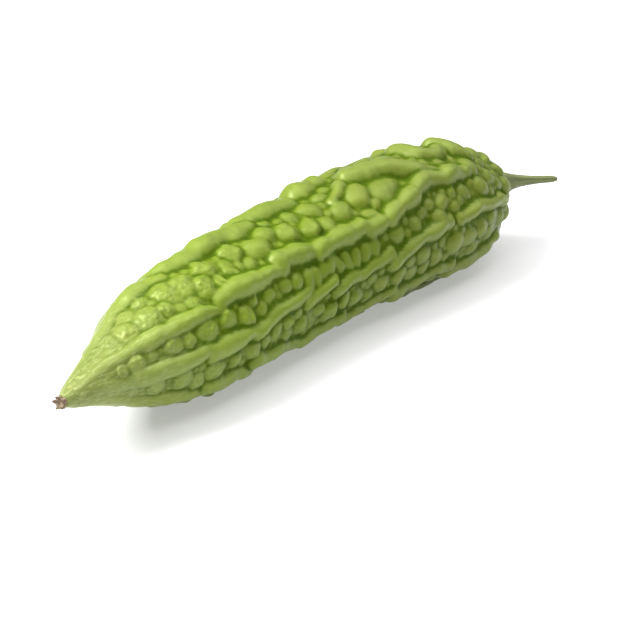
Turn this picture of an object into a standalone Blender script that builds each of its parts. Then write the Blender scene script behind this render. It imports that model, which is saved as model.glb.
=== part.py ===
"""Bitter melon: one warty fruit lying on its belly, with its stalk and its dried flower.

Metres, +Z up. The fruit lies along X with its blossom tip at -X and its stalk at +X, and
the origin is on the ground under the middle of the whole melon.
"""
import math
import random

import bmesh
import bpy
import numpy as np
from mathutils import Vector, noise

MM = 0.001
DOWN = math.pi

# The fruit's form. Places along it are shares of LENGTH from the blossom tip, and places
# round it are angles in degrees from straight up, positive towards -Y.
LENGTH = 240 * MM
SEAT_SHARE = 0.990
BEND = 10.7 * MM
GROUND_CUT = 0.6 * MM
BODY_RADIUS = (
    (0.000, 2.2 * MM), (0.020, 4.0 * MM), (0.060, 6.4 * MM), (0.120, 10.4 * MM),
    (0.200, 16.3 * MM), (0.300, 19.6 * MM), (0.420, 20.6 * MM), (0.550, 20.8 * MM),
    (0.680, 22.5 * MM), (0.800, 22.4 * MM), (0.880, 20.5 * MM), (0.935, 15.4 * MM),
    (0.965, 12.1 * MM), (0.982, 8.5 * MM), (SEAT_SHARE, 4.9 * MM),
)
TIP_HEIGHT = 27.2 * MM
SEAT_HEIGHT = 25.0 * MM
BELLY = (0.36, 0.48, 0.61, 0.74, 0.86)
TIP_LIFT = (0.18, 0.36)
# Middle of the whole melon seen from above, in the fruit's own axes: the frame's origin
MELON_MIDDLE = (10.04 * MM, 3.62 * MM)

# Swellings of the ridges on the shown side: places (share, degrees, half-width in mm)
SHOWN_RIDGES = (
    ((0.030, 36, 2.2), (0.070, 33, 2.9), (0.110, 38, 3.5), (0.160, 43, 4.1), (0.210, 45, 4.2),
     (0.245, 48, 3.7), (0.282, 52, 2.6)),
    ((0.285, 44, 4.6), (0.330, 43, 5.1), (0.385, 46, 4.5), (0.428, 46, 4.0)),
    ((0.428, 39, 5.2), (0.455, 40, 5.9), (0.485, 43, 5.1), (0.525, 45, 3.9)),
    ((0.507, 49, 4.5), (0.530, 49, 5.2), (0.575, 48, 5.4), (0.608, 48, 4.7)),
    ((0.620, 53, 5.2), (0.646, 52, 5.4)),
    ((0.668, 51, 4.9), (0.690, 49, 5.0)),
    ((0.707, 46, 4.7), (0.730, 42, 4.7)),
    ((0.746, 38, 4.7), (0.768, 34, 5.5), (0.800, 36, 5.0), (0.835, 35, 5.4), (0.865, 36, 4.3)),
    ((0.045, -38, 2.4), (0.110, -36, 3.6), (0.170, -34, 5.2), (0.225, -24, 5.2),
     (0.255, -13, 3.6)),
    ((0.248, -29, 5.0), (0.290, -19, 6.2), (0.340, -15, 6.4), (0.400, -14, 6.8),
     (0.450, -9, 4.6)),
    ((0.448, -23, 5.6), (0.500, -17, 6.4), (0.552, -12, 4.8)),
    ((0.594, -23, 7.4), (0.632, -23, 7.0)),
    ((0.600, 15, 3.2), (0.620, 9, 3.4), (0.640, 2, 3.8)),
    ((0.662, -3, 5.0), (0.700, 4, 6.2), (0.740, 13, 5.6), (0.775, 23, 4.4), (0.800, 27, 3.2)),
    ((0.798, -15, 6.6), (0.808, 2, 5.2), (0.835, 9, 4.8), (0.852, 6, 5.2)),
    ((0.868, -10, 6.6), (0.882, 6, 5.4), (0.902, 18, 3.6)),
    ((0.045, 80, 2.4), (0.100, 90, 3.8), (0.150, 88, 4.6), (0.195, 85, 4.8), (0.240, 81, 3.0)),
    ((0.238, 89, 4.4), (0.280, 86, 4.8), (0.325, 82, 3.4)),
    ((0.810, 76, 3.8), (0.853, 71, 4.2), (0.900, 74, 3.8), (0.945, 79, 3.0)),
    ((0.050, 134, 3.0), (0.120, 143, 4.6), (0.185, 137, 5.2), (0.245, 135, 4.0)),
    ((0.245, 126, 4.8), (0.290, 127, 5.2), (0.335, 130, 4.2)),
)
# The other ridges (degrees, first and last share) are drawn as chains of swellings
RESTING_RIDGES = (162, 198)
WANDERING_RIDGES = (
    (82, 0.335, 0.785), (124, 0.340, 0.955), (RESTING_RIDGES[0], 0.040, 0.955),
    (RESTING_RIDGES[1], 0.040, 0.955), (238, 0.040, 0.955), (276, 0.040, 0.955),
    (313, 0.040, 0.955),
)
RIDGE_HALF_WIDTH = 4.2 * MM
RIDGE_HEIGHT = 5.3 * MM
RIDGE_ROUNDNESS = 0.60
RIDGE_TAPER = (1.12, 0.86)
# Waves along each ridge: in its width, sideways and in its height
RIDGE_THROB = 0.22
RIDGE_SWAY = 0.9 * MM
RIDGE_SWELL = 0.20
THROB_LENGTH = 8.5 * MM
RIDGE_LEAN = 2.0 * MM
RIDGE_STRETCH = (14 * MM, 34 * MM)
RIDGE_GAP = 0.5 * MM
RIDGE_STEP = 1.6 * MM
WANDER_ANGLE = 3.0
WANDER_LENGTH = 14 * MM

# Warts that stand out on the shown side: places (share, degrees, radius in mm)
SHOWN_WARTS = (
    (0.065, 67, 1.9), (0.092, 62, 2.6), (0.118, 63, 3.4), (0.145, 62, 2.0), (0.177, 63, 3.4),
    (0.205, 64, 2.9), (0.240, 64, 4.3), (0.283, 62, 3.7), (0.318, 68, 3.7), (0.340, 57, 2.8),
    (0.375, 61, 2.9), (0.415, 60, 3.0), (0.113, -5, 3.2), (0.138, 8, 3.7), (0.175, 16, 4.5),
    (0.203, 22, 3.0), (0.228, 4, 4.6), (0.257, 13, 4.8), (0.242, 34, 2.9), (0.278, 27, 4.4),
    (0.310, 9, 4.9), (0.308, 30, 3.0), (0.342, 27, 3.0), (0.375, 9, 4.0), (0.345, 18, 2.9),
    (0.383, 29, 3.0), (0.417, 19, 5.0), (0.485, 20, 4.4), (0.525, 28, 4.1), (0.557, 33, 3.8),
    (0.557, 7, 4.3), (0.600, 27, 4.3), (0.615, 36, 2.5), (0.637, 43, 3.4), (0.647, 19, 5.3),
    (0.693, 28, 5.8), (0.685, 39, 3.2), (0.733, 32, 2.5), (0.713, 67, 3.3), (0.765, 71, 3.9),
    (0.733, 59, 2.7), (0.780, 57, 3.0), (0.805, 65, 2.5), (0.880, 32, 3.8), (0.935, 58, 2.9),
    (0.963, 37, 2.9), (0.145, 110, 3.4), (0.188, 106, 3.9), (0.247, 107, 4.2), (0.288, 104, 3.3),
)
# A row of warts pressed side by side like ribs: first and last share, degrees
RIB_ROW = (0.465, 0.635, 67)
RIB_STEP = 4.9 * MM
RIB_RADIUS = 2.6 * MM
RIB_REACH = 1.7 * MM
# Rounds of warts that fill what is left, largest first: smallest and largest radius, and how
# many places are tried
WART_ROUNDS = (
    (2.7 * MM, 4.2 * MM, 1500),
    (1.9 * MM, 2.9 * MM, 3000),
    (1.2 * MM, 2.0 * MM, 5000),
)
WART_NUDGE = 1.2 * MM
RIDGE_FOOT = 0.64
WART_OVERLAP = 1.40
WART_STRETCH = 0.22
WART_FOOT_HEIGHT = 1.7 * MM
WART_STEEPNESS = 0.66
TALLEST_WART = 4.6 * MM
NUB_WART = 2.7 * MM
NUB_CHANCE = 0.55
NUB_SHARE = 0.62
NUB_HEIGHT = 0.55 * MM
VALLEY_FLOOR = 2.3 * MM
UNDERSIDE_WART_PRESS = 0.40
UNDERSIDE_HALF_ANGLE = 14
LUMP_WIDTH_SCALE = ((0.0, 0.35), (0.06, 0.56), (0.12, 0.80), (0.20, 0.94), (0.30, 1.0),
                    (0.88, 1.0), (0.96, 0.86), (1.0, 0.75))
LUMP_HEIGHT_SCALE = ((0.0, 0.0), (0.03, 0.12), (0.08, 0.33), (0.12, 0.50), (0.20, 0.77),
                     (0.30, 0.97), (0.38, 1.0), (0.92, 1.0), (0.965, 0.85), (0.980, 0.45),
                     (0.987, 0.05), (SEAT_SHARE, 0.0))
CREASE_SHARPNESS = 7
# How a wart and a ridge fall off from their tops: lower is blunter
WART_BLUNTNESS = 0.55
RIDGE_BLUNTNESS = 0.72
# Waves that bend the outlines of ridges and warts: amount and wave length
OUTLINE_WAVES = ((1.1 * MM, 8.0 * MM), (0.35 * MM, 2.6 * MM))
# How far apart the waves of one place are taken, in wave lengths
WAVE_OFFSET = (31.37, 17.21, 5.73)
WART_SEED = 27

# Stalk: a flared, ribbed stem; its radii run from the fruit to the cut end
STALK_LENGTH = 29 * MM
STALK_HEADING_LENGTH = 8.0 * MM
STALK_DIRECTION = (0.883, -0.442, -0.075)
STALK_RADII = ((0.0, 3.4 * MM), (0.08, 3.7 * MM), (0.20, 4.6 * MM), (0.28, 4.6 * MM),
               (0.36, 4.0 * MM), (0.46, 3.0 * MM), (0.60, 2.1 * MM), (0.80, 1.5 * MM),
               (0.96, 1.2 * MM), (1.0, 0.8 * MM))
STALK_RIBS = 5
STALK_RIB_DEPTH = 0.09
STALK_TWIST = 1.5
STALK_KNOBBLE = 0.07

# Dried flower: a crumpled stub with short prongs
FLOWER_LENGTH = 2.0 * MM
FLOWER_WIDTHS = ((0.0, 1.8 * MM), (0.3, 1.7 * MM), (0.7, 2.0 * MM), (1.0, 1.9 * MM))
FLOWER_RISE = 0.25
FLOWER_FOLD = 0.22
FLOWER_CRUMPLE = 0.30
FLOWER_PRONGS = (0.45, 1.0, 0.5, 0.9, 0.35)
FLOWER_PRONG_LENGTH = 2.2 * MM
FLOWER_RIM = ((0.5, 1.06), (1.0, 0.98), (0.75, 0.80), (0.2, 0.62))
FLOWER_HOLLOW = (0.6 * MM, 0.3)
JOINT_GAP = 0.3 * MM

# Fineness
RINGS = 330
RING_POINTS = 160
FRUIT_TRIANGLES = 11300
STALK_STEPS, STALK_POINTS = 22, 20
FLOWER_STEPS, FLOWER_POINTS = 4, 25

FRUIT_COLOUR = (0.130, 0.200, 0.015, 1.0)
STALK_COLOUR = (0.180, 0.215, 0.070, 1.0)
FLOWER_COLOUR = (0.330, 0.235, 0.135, 1.0)


def smooth_curve(knots):
    """Returns a function that runs smoothly through the knots and never overshoots them."""
    at, value = (np.array(column, float) for column in zip(*knots))
    step = np.diff(at)
    rise = np.diff(value) / step
    slope = np.zeros(len(at))
    slope[0], slope[-1] = rise[0], rise[-1]
    for i in range(1, len(at) - 1):
        if rise[i - 1] * rise[i] > 0:
            before, after = 2 * step[i] + step[i - 1], step[i] + 2 * step[i - 1]
            slope[i] = (before + after) / (before / rise[i - 1] + after / rise[i])

    def curve(x):
        x = np.clip(np.asarray(x, float), at[0], at[-1])
        i = np.clip(np.searchsorted(at, x) - 1, 0, len(step) - 1)
        h = step[i]
        t = (x - at[i]) / h
        return ((2 * t**3 - 3 * t**2 + 1) * value[i] + (t**3 - 2 * t**2 + t) * h * slope[i]
                + (3 * t**2 - 2 * t**3) * value[i + 1] + (t**3 - t**2) * h * slope[i + 1])

    return curve


def waves(places, parts):
    """Smooth waves between -1 and 1: that many unlike numbers for each place."""
    offsets = [part * Vector(WAVE_OFFSET) for part in range(parts)]
    return np.array([[noise.noise(Vector(place) + offset) for offset in offsets]
                     for place in places])


body_radius = smooth_curve(BODY_RADIUS)
lump_width_scale = smooth_curve(LUMP_WIDTH_SCALE)
lump_height_scale = smooth_curve(LUMP_HEIGHT_SCALE)


def resting_height(share):
    """Height of the centreline where the two lowest ridges touch the ground."""
    ridge_angle = math.radians(RESTING_RIDGES[1] - RESTING_RIDGES[0]) / 2
    return float(body_radius(share) + RIDGE_HEIGHT) * math.cos(ridge_angle) - GROUND_CUT


def height_knots():
    """The centreline's height: risen at the tip, and level along the belly."""
    at, part = TIP_LIFT
    low = resting_height(BELLY[0])
    knots = [(0.0, TIP_HEIGHT), (at, low + part * (TIP_HEIGHT - low))]
    return knots + [(share, resting_height(share)) for share in BELLY] + [(SEAT_SHARE, SEAT_HEIGHT)]


centre_height = smooth_curve(height_knots())


def centreline(share):
    """Points on the fruit's centreline, which is bent sideways."""
    share = np.asarray(share, float)
    x = (share - 0.5) * LENGTH - MELON_MIDDLE[0]
    y = BEND * (0.5 - (2 * share - 1) ** 2) - MELON_MIDDLE[1]
    return np.stack([x, y, centre_height(share)], -1)


class Body:
    """The fruit without its relief, as rings at even steps along its outline."""

    def __init__(self, rings, ring_points):
        fine = np.linspace(0, SEAT_SHARE, 4001)
        run = np.hypot(np.diff(fine) * LENGTH, np.diff(body_radius(fine)))
        run = np.concatenate([[0], np.cumsum(run)])
        self.fine_share, self.fine_run = fine, run
        self.run = np.linspace(0, run[-1], rings)
        self.share = np.interp(self.run, run, fine)
        self.angle = np.arange(ring_points) * 2 * math.pi / ring_points
        self.radius = body_radius(self.share)
        self.chart_radius = self.chart_radius_at(self.share)
        shift = self.outline_shift()
        self.net_run = self.run[:, None] + shift[..., 0]
        self.net_angle = self.angle[None, :] + shift[..., 1] / self.chart_radius[:, None]

    def outline_shift(self):
        """How far the outlines of the relief are bent along and round the fruit."""
        across = self.chart_radius[:, None] * np.cos(self.angle)
        up = self.chart_radius[:, None] * np.sin(self.angle)
        along = np.broadcast_to(self.run[:, None], across.shape)
        places = np.stack([along, across, up], -1).reshape(-1, 3)
        shift = np.zeros((len(places), 2))
        for amount, length in OUTLINE_WAVES:
            shift += amount * waves(places / length, 2)
        scale = lump_height_scale(self.share)[:, None, None]
        return shift.reshape(*across.shape, 2) * scale

    def run_at(self, share):
        """Distance along the outline from the blossom tip."""
        return np.interp(share, self.fine_share, self.fine_run)

    def share_at(self, run):
        return np.interp(run, self.fine_run, self.fine_share)

    def chart_radius_at(self, share):
        """Radius halfway up the relief, where widths round the fruit are measured."""
        return body_radius(share) + RIDGE_HEIGHT / 2 * lump_height_scale(share)

    def axes(self, share):
        """Directions along, sideways and upwards of the centreline."""
        small = 1e-4
        along = centreline(share + small) - centreline(share - small)
        along /= np.linalg.norm(along, axis=-1, keepdims=True)
        side = np.cross([0, 0, 1], along)
        side /= np.linalg.norm(side, axis=-1, keepdims=True)
        return along, side, np.cross(along, side)

    def points(self, relief):
        """Ring points, raised from the body by the relief along the body's own normals."""
        small = 1e-4
        slope = (body_radius(self.share + small) - body_radius(self.share - small))
        slope = np.arctan2(slope, 2 * small * LENGTH)[:, None, None]
        along, side, up = (axis[:, None, :] for axis in self.axes(self.share))
        turn = self.angle[None, :, None]
        outward = np.cos(turn) * up - np.sin(turn) * side
        normal = np.cos(slope) * outward - np.sin(slope) * along
        return (centreline(self.share)[:, None, :] + self.radius[:, None, None] * outward
                + relief[:, :, None] * normal)


def wrap(angle):
    """The same angle between minus and plus half a turn."""
    return (angle + math.pi) % (2 * math.pi) - math.pi


class Lump:
    """A rounded swelling about a line of points (run, angle), each with a half-width and height."""

    def __init__(self, line, half_widths, heights, bluntness=WART_BLUNTNESS):
        self.line = np.array(line, float)
        self.bluntness = bluntness
        self.half_widths = np.broadcast_to(half_widths, len(line))
        self.heights = np.broadcast_to(heights, len(line))

    def raised(self, body):
        """The part of the body's net this lump reaches, and its height there."""
        reach = self.half_widths.max() + sum(amount for amount, length in OUTLINE_WAVES)
        near = (body.run > self.line[:, 0].min() - reach) & (body.run < self.line[:, 0].max() + reach)
        rows = np.flatnonzero(near)
        turn = reach / body.chart_radius[rows].min()
        middle = (self.line[:, 1].min() + self.line[:, 1].max()) / 2
        half_span = min(self.line[:, 1].max() - middle + turn, math.pi)
        columns = np.flatnonzero(np.abs(wrap(body.angle - middle)) <= half_span)
        place = np.ix_(rows, columns)
        run, radius = body.net_run[place], body.chart_radius[rows][:, None]
        angle = middle + wrap(body.net_angle[place] - middle)
        best = np.zeros(run.shape)
        for i in range(len(self.line) - 1):
            (run_a, angle_a), (run_b, angle_b) = self.line[i], self.line[i + 1]
            along, across = run_b - run_a, (angle_b - angle_a) * radius
            to_run, to_across = run - run_a, (angle - angle_a) * radius
            t = (to_run * along + to_across * across) / (along**2 + across**2 + 1e-18)
            t = np.clip(t, 0, 1)
            distance = np.hypot(to_run - t * along, to_across - t * across)
            width = self.half_widths[i] + t * (self.half_widths[i + 1] - self.half_widths[i])
            height = self.heights[i] + t * (self.heights[i + 1] - self.heights[i])
            best = np.maximum(best, height * dome(distance / width, self.bluntness))
        return place, best


def dome(distance, bluntness):
    """Height of a dome of radius and height one at a distance from its middle."""
    return np.clip(1 - distance**2, 0, 1) ** bluntness


def spline(points, body):
    """Points (run, angle, half-width) on a smooth curve through (share, degrees, half-width)."""
    knots = [(body.run_at(share), math.radians(angle), width) for share, angle, width in points]
    knots = np.array([knots[0]] + knots + [knots[-1]])
    line = []
    for p0, p1, p2, p3 in zip(knots, knots[1:], knots[2:], knots[3:]):
        radius = body.chart_radius_at(body.share_at(p1[0]))
        count = max(1, round(math.hypot(p2[0] - p1[0], (p2[1] - p1[1]) * radius) / RIDGE_STEP))
        for t in np.arange(count) / count:
            line.append(0.5 * (2 * p1 + (p2 - p0) * t + (2 * p0 - 5 * p1 + 4 * p2 - p3) * t**2
                               + (3 * p1 - p0 - 3 * p2 + p3) * t**3))
    return np.array(line + [knots[-1]])


def wandering_ridge(degrees, first, last, body, rng):
    """A ridge as swellings that lean past each other, each blunt at its tip-side end."""
    at, end = body.run_at(first), body.run_at(last)
    phase = rng.uniform(0, 2 * math.pi)
    pieces = []
    while at < end - RIDGE_GAP:
        stop = min(at + rng.uniform(*RIDGE_STRETCH), end)
        lean = RIDGE_LEAN * rng.choice((-1, 1))
        width = RIDGE_HALF_WIDTH * rng.uniform(0.90, 1.10)
        points = []
        for t in (0, 0.5, 1):
            run = at + t * (stop - at)
            share = float(body.share_at(run))
            sway = WANDER_ANGLE * math.sin(run / WANDER_LENGTH + phase)
            sway += math.degrees(lean * (1 - 2 * t) / body.chart_radius_at(share))
            taper = RIDGE_TAPER[0] + t * (RIDGE_TAPER[1] - RIDGE_TAPER[0])
            points.append((share, degrees + sway, width * taper * float(lump_width_scale(share))))
        pieces.append(points)
        at = stop + RIDGE_GAP * float(lump_width_scale(points[-1][0]))
    return pieces


def ridge_lumps(body, rng):
    """All swellings of all ridges."""
    pieces = [[(share, angle, width * MM) for share, angle, width in points]
              for points in SHOWN_RIDGES]
    for ridge in WANDERING_RIDGES:
        pieces += wandering_ridge(*ridge, body, rng)
    lumps = []
    for points in pieces:
        run, angle, width = spline(points, body).T
        share, phase = body.share_at(run), rng.uniform(0, 99)
        throb, sway, swell = waves([(place / THROB_LENGTH, phase, 0) for place in run], 3).T
        width = width * (1 + RIDGE_THROB * throb)
        angle = angle + RIDGE_SWAY * sway * lump_width_scale(share) / body.chart_radius_at(share)
        height = RIDGE_HEIGHT * (1 + RIDGE_SWELL * swell) * (width / RIDGE_HALF_WIDTH) ** RIDGE_ROUNDNESS
        height = height * lump_height_scale(share)
        lumps.append(Lump(np.stack([run, angle], -1), width, height, RIDGE_BLUNTNESS))
    return lumps


class Valleys:
    """What is left between the ridges and warts for further warts."""

    def __init__(self, body, ridges):
        self.body = body
        self.line = np.concatenate([lump.line for lump in ridges])
        self.kept = RIDGE_FOOT * np.concatenate([lump.half_widths for lump in ridges])

    def fill(self, places, radii):
        """Marks circles (run, angle) as taken."""
        self.line = np.vstack([self.line, places])
        self.kept = np.append(self.kept, radii)

    def room(self, places):
        """Radius of the largest wart that fits at each place (run, angle)."""
        around = self.body.chart_radius_at(self.body.share_at(places[:, 0]))[:, None]
        along = self.line[None, :, 0] - places[:, 0, None]
        across = wrap(self.line[None, :, 1] - places[:, 1, None]) * around
        return (np.hypot(along, across) - self.kept).min(1)


def wart(run, angle, radius, body, rng):
    """A wart at a place, and the nubs that crowd on it if it is large."""
    share = float(body.share_at(run))
    around = float(body.chart_radius_at(share))
    scale = float(lump_height_scale(share))
    full_radius = radius / float(lump_width_scale(share))
    height = min(WART_FOOT_HEIGHT + WART_STEEPNESS * full_radius, TALLEST_WART)
    height *= rng.uniform(0.90, 1.06) * scale
    off_bottom = math.degrees(abs(wrap(angle - DOWN))) / UNDERSIDE_HALF_ANGLE
    height *= 1 - UNDERSIDE_WART_PRESS * math.exp(-off_bottom**2)
    turn, reach = rng.uniform(0, math.pi), rng.uniform(0, WART_STRETCH) * radius
    along, across = math.cos(turn) * reach, math.sin(turn) * reach / around
    line = [(run - along, angle - across), (run + along, angle + across)]
    half_width = radius * WART_OVERLAP - reach / 2
    lumps = [Lump(line, half_width, height)]
    if full_radius > NUB_WART and share < NUB_SHARE and rng.random() < NUB_CHANCE:
        for _ in range(rng.randint(3, 5)):
            turn, away = rng.uniform(0, 2 * math.pi), rng.uniform(0.30, 0.70) * radius
            place = (run + math.cos(turn) * away, angle + math.sin(turn) * away / around)
            under = height * float(dome(away / half_width, WART_BLUNTNESS))
            lift = NUB_HEIGHT * rng.uniform(0.6, 1.2) * scale
            nub_width = radius * rng.uniform(0.50, 0.75)
            lumps.append(Lump([place, place], nub_width, under + lift))
    return lumps


def rib_lumps(body, valleys, rng):
    """The row of warts pressed side by side between two ridges."""
    lumps = []
    first, last, degrees = RIB_ROW
    run = body.run_at(first)
    while run < body.run_at(last):
        angle = math.radians(degrees + rng.uniform(-4, 4))
        around = float(body.chart_radius_at(body.share_at(run)))
        reach, lean = RIB_REACH * rng.uniform(0.6, 1.3) / around, rng.uniform(-0.8, 0.8) * MM
        line = [(run - lean, angle - reach), (run + lean, angle + reach)]
        radius = RIB_RADIUS * rng.uniform(0.82, 1.15)
        height = WART_FOOT_HEIGHT + WART_STEEPNESS * radius * rng.uniform(0.95, 1.25)
        lumps.append(Lump(line, radius * WART_OVERLAP, height))
        valleys.fill(line, [radius, radius])
        run += RIB_STEP * rng.uniform(0.80, 1.15)
    return lumps


def wart_lumps(body, ridges, rng, rounds):
    """Fills the valleys between the ridges with warts that press together, largest first."""
    valleys = Valleys(body, ridges)
    lumps = rib_lumps(body, valleys, rng)
    for share, degrees, radius in SHOWN_WARTS:
        run, angle = float(body.run_at(share)), math.radians(degrees)
        lumps += wart(run, angle, radius * MM, body, rng)
        valleys.fill([(run, angle)], [radius * MM])
    area = np.cumsum(body.chart_radius)
    area /= area[-1]
    for smallest, largest, tries in rounds:
        for _ in range(tries):
            run = float(np.interp(rng.random(), area, body.run))
            angle = rng.uniform(-math.pi, math.pi)
            share = float(body.share_at(run))
            scale, around = float(lump_width_scale(share)), float(body.chart_radius_at(share))
            nudges = [(rng.uniform(-1, 1) * WART_NUDGE, rng.uniform(-1, 1) * WART_NUDGE / around)
                      for _ in range(7)]
            places = np.array([(run, angle)]) + np.array([(0, 0)] + nudges)
            rooms = valleys.room(places)
            best = int(rooms.argmax())
            if rooms[best] < smallest * scale:
                continue
            radius = min(rooms[best], largest * scale * rng.uniform(0.75, 1))
            run, angle = (float(part) for part in places[best])
            lumps += wart(run, angle, radius, body, rng)
            valleys.fill([(run, angle)], [radius])
    return lumps


def tube_mesh(name, rings):
    """A closed mesh over rings of points that run along it, with a flat fan on both ends."""
    rings = np.asarray(rings, float)
    count, size = rings.shape[:2]
    ends = np.stack([rings[0].mean(0), rings[-1].mean(0)])
    points = np.concatenate([rings.reshape(-1, 3), ends])
    row = np.arange(count - 1)[:, None] * size
    column = np.arange(size)[None, :]
    beside = (column + 1) % size
    sides = np.stack([row + column, row + beside, row + size + beside, row + size + column], -1)
    faces = [tuple(face) for face in sides.reshape(-1, 4)]
    last = (count - 1) * size
    for j in range(size):
        k = (j + 1) % size
        faces += [(k, j, count * size), (last + j, last + k, count * size + 1)]
    mesh = bpy.data.meshes.new(name)
    mesh.from_pydata(points.tolist(), [], faces)
    mesh.update()
    if outward_volume(mesh) < 0:
        mesh.flip_normals()
    mesh.shade_smooth()
    return mesh


def outward_volume(mesh):
    """Six times the volume, positive where the faces point outwards."""
    mesh.calc_loop_triangles()
    points = np.empty(len(mesh.vertices) * 3)
    mesh.vertices.foreach_get("co", points)
    corners = np.empty(len(mesh.loop_triangles) * 3, int)
    mesh.loop_triangles.foreach_get("vertices", corners)
    a, b, c = points.reshape(-1, 3)[corners.reshape(-1, 3)].transpose(1, 0, 2)
    return float(np.sum(a * np.cross(b, c)))


def end_frame(share):
    """Point and outward direction of the centreline at one end of the fruit."""
    along = Vector(Body(3, 3).axes(np.array(share))[0])
    if share < 0.5:
        along.negate()
    return Vector(centreline(share)), along


def bent_line(start, bend, end, steps):
    """Points on a curve that leaves the start towards the bend and comes to the end."""
    line = []
    for i in range(steps + 1):
        t = i / steps
        line.append(start * (1 - t) ** 2 + bend * 2 * t * (1 - t) + end * t**2)
    return line


def rings_along(line, radius, around, shape):
    """Rings of points about a line; shape(t, angle) scales the radius at each point."""
    rings = []
    count = len(line)
    for i, place in enumerate(line):
        ahead = line[min(i + 1, count - 1)] - line[max(i - 1, 0)]
        side = ahead.cross(Vector((0, 0, 1))).normalized()
        up = side.cross(ahead).normalized()
        t = i / (count - 1)
        ring = []
        for j in range(around):
            angle = 2 * math.pi * j / around
            reach = float(radius(t)) * shape(t, angle)
            ring.append(place + (side * math.cos(angle) + up * math.sin(angle)) * reach)
        rings.append(ring)
    return rings


def stalk_rib(t, angle):
    return math.cos(STALK_RIBS * angle + STALK_TWIST * t)


def stalk_rings(length, gap, steps, around):
    """The stalk's rings, from a gap before the fruit to its cut end."""
    foot, heading = end_frame(SEAT_SHARE)
    bend = foot + heading * STALK_HEADING_LENGTH
    end = foot + Vector(STALK_DIRECTION).normalized() * length

    def ribbed(t, angle):
        knobble = noise.noise(Vector((math.cos(angle) * 1.6, math.sin(angle) * 1.6, 9 * t)))
        return 1 + STALK_RIB_DEPTH * stalk_rib(t, angle) * min(1, 6 * t) + STALK_KNOBBLE * knobble

    line = bent_line(foot + heading * gap, bend, end, steps)
    return rings_along(line, smooth_curve(STALK_RADII), around, ribbed)


def flower_rings(length, gap, steps, around):
    """The dried flower's rings: a crumpled stub, its pronged rim and a shallow hollow."""
    foot, heading = end_frame(0.0)
    aim = (heading + Vector((0, 0, FLOWER_RISE))).normalized()
    bend = foot + heading * length / 2
    line = bent_line(foot + heading * gap, bend, bend + aim * length / 2, steps)
    prongs = len(FLOWER_PRONGS)

    def crumpled(t, angle):
        place = Vector((math.cos(angle) * 2.2, math.sin(angle) * 2.2, 3 * t + 5))
        crumple = FLOWER_CRUMPLE * noise.noise(place) * min(1, 3 * t)
        return 1 + FLOWER_FOLD * t * math.cos(prongs * angle) + crumple

    rings = rings_along(line, smooth_curve(FLOWER_WIDTHS), around, crumpled)
    rim = rings[-1]
    centre = sum(rim, Vector()) / around
    for lift, pull in FLOWER_RIM:
        ring = []
        for j, point in enumerate(rim):
            turn = j / around * prongs
            prong = FLOWER_PRONGS[round(turn) % prongs] * max(0, math.cos(2 * math.pi * turn)) ** 1.5
            ring.append(centre + (point - centre) * pull + aim * FLOWER_PRONG_LENGTH * prong * lift)
        rings.append(ring)
    depth, pull = FLOWER_HOLLOW
    rings.append([centre + (point - centre) * pull - aim * depth for point in rim])
    return rings


def relief_on(body, lumps):
    """Height of the relief at each point of the net."""
    scale = lump_height_scale(body.share)[:, None]
    total = np.zeros((len(body.run), len(body.angle))) + (VALLEY_FLOOR / MM * scale) ** CREASE_SHARPNESS
    for lump in lumps:
        place, height = lump.raised(body)
        total[place] += (height / MM) ** CREASE_SHARPNESS
    return total ** (1 / CREASE_SHARPNESS) * MM


def material(name, colour, roughness):
    made = bpy.data.materials.new(name)
    made.use_nodes = True
    shader = made.node_tree.nodes["Principled BSDF"]
    shader.inputs["Base Color"].default_value = colour
    shader.inputs["Roughness"].default_value = roughness
    shader.inputs["Metallic"].default_value = 0.0
    made.diffuse_color = colour
    return made


def add_object(name, mesh, look):
    made = bpy.data.objects.new(name, mesh)
    mesh.materials.append(look)
    bpy.context.scene.collection.objects.link(made)
    return made


def make_fruit():
    """The fruit: relief drawn on a fine net, thinned, and cut level where it lies."""
    rng = random.Random(WART_SEED)
    body = Body(RINGS, RING_POINTS)
    ridges = ridge_lumps(body, rng)
    warts = wart_lumps(body, ridges, rng, WART_ROUNDS)
    mesh = tube_mesh("fruit", body.points(relief_on(body, ridges + warts)))
    fruit = add_object("fruit", mesh, material("fruit_skin", FRUIT_COLOUR, 0.42))
    thin = fruit.modifiers.new("thin_net", "DECIMATE")
    thin.ratio = FRUIT_TRIANGLES / (2 * RINGS * RING_POINTS)
    thin.use_collapse_triangulate = True
    cut = fruit.modifiers.new("level_belly", "BOOLEAN")
    cut.operation = "DIFFERENCE"
    cut.solver = "EXACT"
    cut.object = ground_cutter()


def ground_cutter():
    """A block whose top is the ground, which levels the lowest ridges."""
    mesh = bpy.data.meshes.new("ground_cutter")
    shaped = bmesh.new()
    bmesh.ops.create_cube(shaped, size=1.0)
    depth = 10 * MM
    for vertex in shaped.verts:
        vertex.co = Vector((vertex.co.x * 1.4 * LENGTH, vertex.co.y * LENGTH / 2,
                            (vertex.co.z - 0.5) * depth))
    shaped.to_mesh(mesh)
    shaped.free()
    cutter = bpy.data.objects.new("ground_cutter", mesh)
    cutter.hide_render = True
    cutter.display_type = "WIRE"
    bpy.context.scene.collection.objects.link(cutter)
    return cutter


def make_stalk():
    mesh = tube_mesh("stalk", stalk_rings(STALK_LENGTH, JOINT_GAP, STALK_STEPS, STALK_POINTS))
    add_object("stalk", mesh, material("stalk_skin", STALK_COLOUR, 0.6))


def make_dry_flower():
    rings = flower_rings(FLOWER_LENGTH, JOINT_GAP, FLOWER_STEPS, FLOWER_POINTS)
    add_object("dry_flower", tube_mesh("dry_flower", rings),
               material("dry_flower_skin", FLOWER_COLOUR, 0.85))


def main():
    for thing in list(bpy.data.objects):
        bpy.data.objects.remove(thing)
    make_fruit()
    make_stalk()
    make_dry_flower()


main()
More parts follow.
